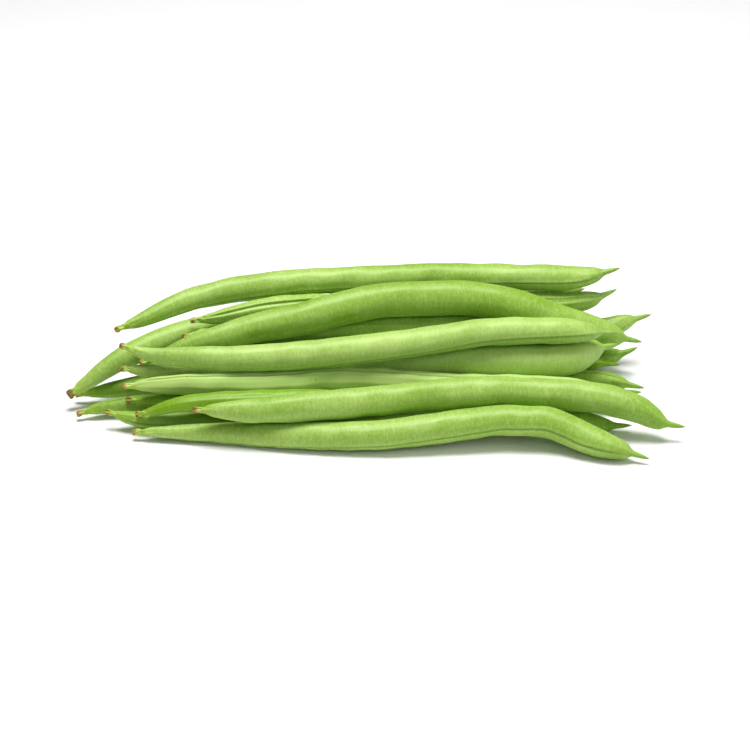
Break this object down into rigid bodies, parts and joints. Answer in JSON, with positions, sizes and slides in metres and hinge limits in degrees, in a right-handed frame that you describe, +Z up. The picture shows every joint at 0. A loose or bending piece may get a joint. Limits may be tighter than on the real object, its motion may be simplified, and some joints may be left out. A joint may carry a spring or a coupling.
{
  "type": "green bean bundle",
  "caption": "Loose bundle of whole fresh green bean pods lying side by side, with cut stalks at one end and slender beaks at the other.",
  "frame": {"origin": "middle of the bundle's box, on the surface it lies on", "axes": "+X along the pods from their stalks to their points, +Y to the back of the heap, +Z up"},
  "size_m": [0.1724, 0.0714, 0.031],
  "materials": {
    "pod": "smooth satin skin of a fresh green pod; stands in for plant tissue"
  },
  "bodies": {
    "root": {"bean_01": "pod", "bean_02": "pod", "bean_03": "pod", "bean_04": "pod", "bean_05": "pod", "bean_06": "pod", "bean_07": "pod", "bean_08": "pod", "bean_09": "pod", "bean_10": "pod", "bean_11": "pod", "bean_12": "pod", "bean_13": "pod", "bean_14": "pod", "bean_15": "pod", "bean_16": "pod", "bean_17": "pod", "bean_18": "pod", "bean_19": "pod"}
  },
  "joints": []
}
